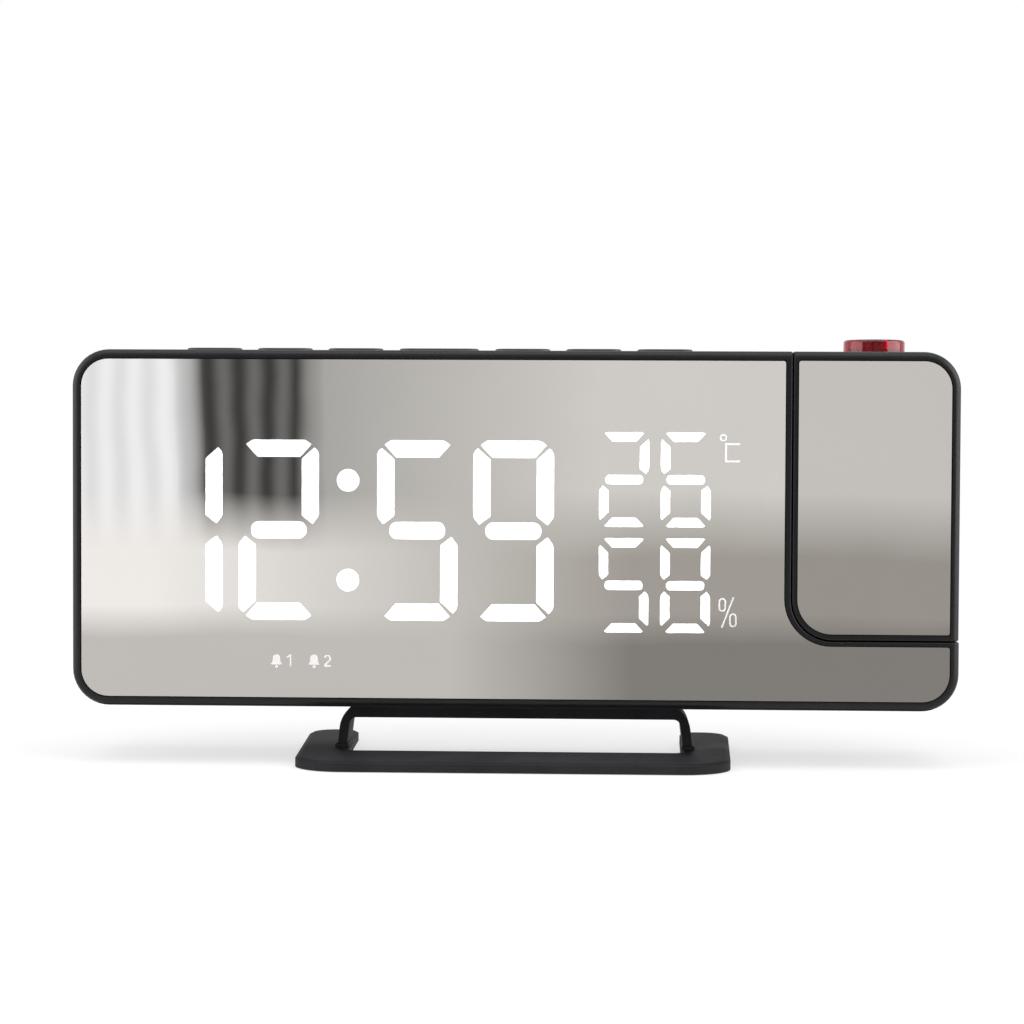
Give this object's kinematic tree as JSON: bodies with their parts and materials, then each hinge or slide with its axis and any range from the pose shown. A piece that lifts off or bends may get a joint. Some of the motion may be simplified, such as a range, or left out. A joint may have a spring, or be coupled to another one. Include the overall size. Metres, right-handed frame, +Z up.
{
  "type": "projection alarm clock",
  "caption": "Slim mirror-faced alarm clock on an arched foot, with a tilting projector head, push keys along the top and a turning focus cap.",
  "frame": {"origin": "on the table, under the middle of the case", "axes": "+X to the right along the width, seen from the mirror face, +Y to the back, +Z up"},
  "size_m": [0.192, 0.0574, 0.093],
  "materials": {
    "gloss_black": "gloss",
    "satin_black": "fine satin texture",
    "stand_black": "satin",
    "key_black": "satin",
    "mirror": "half-silvered acrylic",
    "display_black": "matt",
    "lit_white": "lit diffuser",
    "unlit_grey": "smoked diffuser",
    "board_green": "solder mask",
    "led_cream": "moulded",
    "chip_black": "moulded",
    "socket_cream": "moulded",
    "lead_black": "soft sleeve",
    "steel": "zinc plated",
    "plated_steel": "nickel plated",
    "spring_brass": "bright",
    "paper_black": "pressed paper",
    "magnet_grey": "sintered",
    "bush_white": "natural",
    "washer_rubber": "matt",
    "aluminium": "extruded",
    "lens_clear": "polished",
    "panel_dark": "polished",
    "clear_red": "clear tinted",
    "pad_rubber": "matt"
  },
  "bodies": {
    "case": {"front_bezel": "gloss_black", "mirror_panel": "mirror", "display_frame": "display_black", "time_segments": "lit_white", "climate_segments": "lit_white", "colon_dots": "lit_white", "unit_symbols": "lit_white", "alarm_indicators": "lit_white", "unlit_segments": "unlit_grey", "main_board": "board_green", "display_leds": "led_cream", "control_chip": "chip_black", "lead_socket": "socket_cream", "board_lead": "lead_black", "rear_shell": "satin_black", "case_screws": "steel", "key_board": "board_green", "tact_switches": "chip_black", "speaker_frame": "steel", "speaker_cone": "paper_black", "speaker_magnet": "magnet_grey", "port_board": "board_green", "usb_socket": "plated_steel", "power_inlet": "plated_steel", "battery_holder": "chip_black", "battery_contact": "spring_brass", "coin_cell": "plated_steel", "climate_sensor": "board_green", "sensor_bracket": "satin_black", "pivot_bush": "bush_white", "friction_washer": "washer_rubber", "stand_arch": "stand_black", "stand_base": "stand_black", "foot_pads": "pad_rubber", "stand_screws": "steel"},
    "projector_head": {"head_bezel": "gloss_black", "head_mirror": "mirror", "head_rear_shell": "satin_black", "head_screws": "steel", "head_shaft": "satin_black", "shaft_clip": "steel", "projector_lead": "lead_black", "lamp_board": "board_green", "lamp_led": "led_cream", "heat_sink": "aluminium", "condenser_lens": "lens_clear", "image_panel": "panel_dark", "optics_tube": "satin_black"},
    "focus_ring": {"focus_cap": "clear_red"},
    "lens_carriage": {"lens_barrel": "satin_black", "focus_lens": "lens_clear"},
    "alarm_button": {"alarm_key": "key_black"},
    "minus_button": {"minus_key": "key_black"},
    "plus_button": {"plus_key": "key_black"},
    "snooze_button": {"snooze_key": "key_black"},
    "mode_button": {"mode_key": "key_black"},
    "dimmer_button": {"dimmer_key": "key_black"},
    "projector_button": {"projector_key": "key_black"},
    "cell_door": {"battery_cover": "satin_black"}
  },
  "joints": [
    {"name": "head_tilt", "type": "hinge", "parent": "case", "child": "projector_head", "pos_m": [0.06, 0, 0.0587], "axis": [-1, 0, 0], "range_deg": [0, 90]},
    {"name": "focus_turn", "type": "hinge", "parent": "projector_head", "child": "focus_ring", "pos_m": [0.0789, 0, 0.09], "axis": [0, 0, 1], "range_deg": [0, 270]},
    {"name": "lens_focus", "type": "slide", "parent": "projector_head", "child": "lens_carriage", "axis": [0, 0, 1], "range_m": [0, 0.0025]},
    {"name": "alarm_press", "type": "slide", "parent": "case", "child": "alarm_button", "axis": [0, 0, -1], "range_m": [0, 0.0005], "stiffness_N_per_m": 400, "springref_m": -0.0005},
    {"name": "minus_press", "type": "slide", "parent": "case", "child": "minus_button", "axis": [0, 0, -1], "range_m": [0, 0.0005], "stiffness_N_per_m": 400, "springref_m": -0.0005},
    {"name": "plus_press", "type": "slide", "parent": "case", "child": "plus_button", "axis": [0, 0, -1], "range_m": [0, 0.0005], "stiffness_N_per_m": 400, "springref_m": -0.0005},
    {"name": "snooze_press", "type": "slide", "parent": "case", "child": "snooze_button", "axis": [0, 0, -1], "range_m": [0, 0.0005], "stiffness_N_per_m": 400, "springref_m": -0.0005},
    {"name": "mode_press", "type": "slide", "parent": "case", "child": "mode_button", "axis": [0, 0, -1], "range_m": [0, 0.0005], "stiffness_N_per_m": 400, "springref_m": -0.0005},
    {"name": "dimmer_press", "type": "slide", "parent": "case", "child": "dimmer_button", "axis": [0, 0, -1], "range_m": [0, 0.0005], "stiffness_N_per_m": 400, "springref_m": -0.0005},
    {"name": "projector_press", "type": "slide", "parent": "case", "child": "projector_button", "axis": [0, 0, -1], "range_m": [0, 0.0005], "stiffness_N_per_m": 400, "springref_m": -0.0005},
    {"name": "cover_turn", "type": "hinge", "parent": "case", "child": "cell_door", "pos_m": [-0.024, 0.016, 0.036], "axis": [0, 1, 0], "range_deg": [0, 60]}
  ],
  "couplings": [
    {"joint": "focus_turn", "follows": "lens_focus", "rad_per_m": 1885}
  ]
}
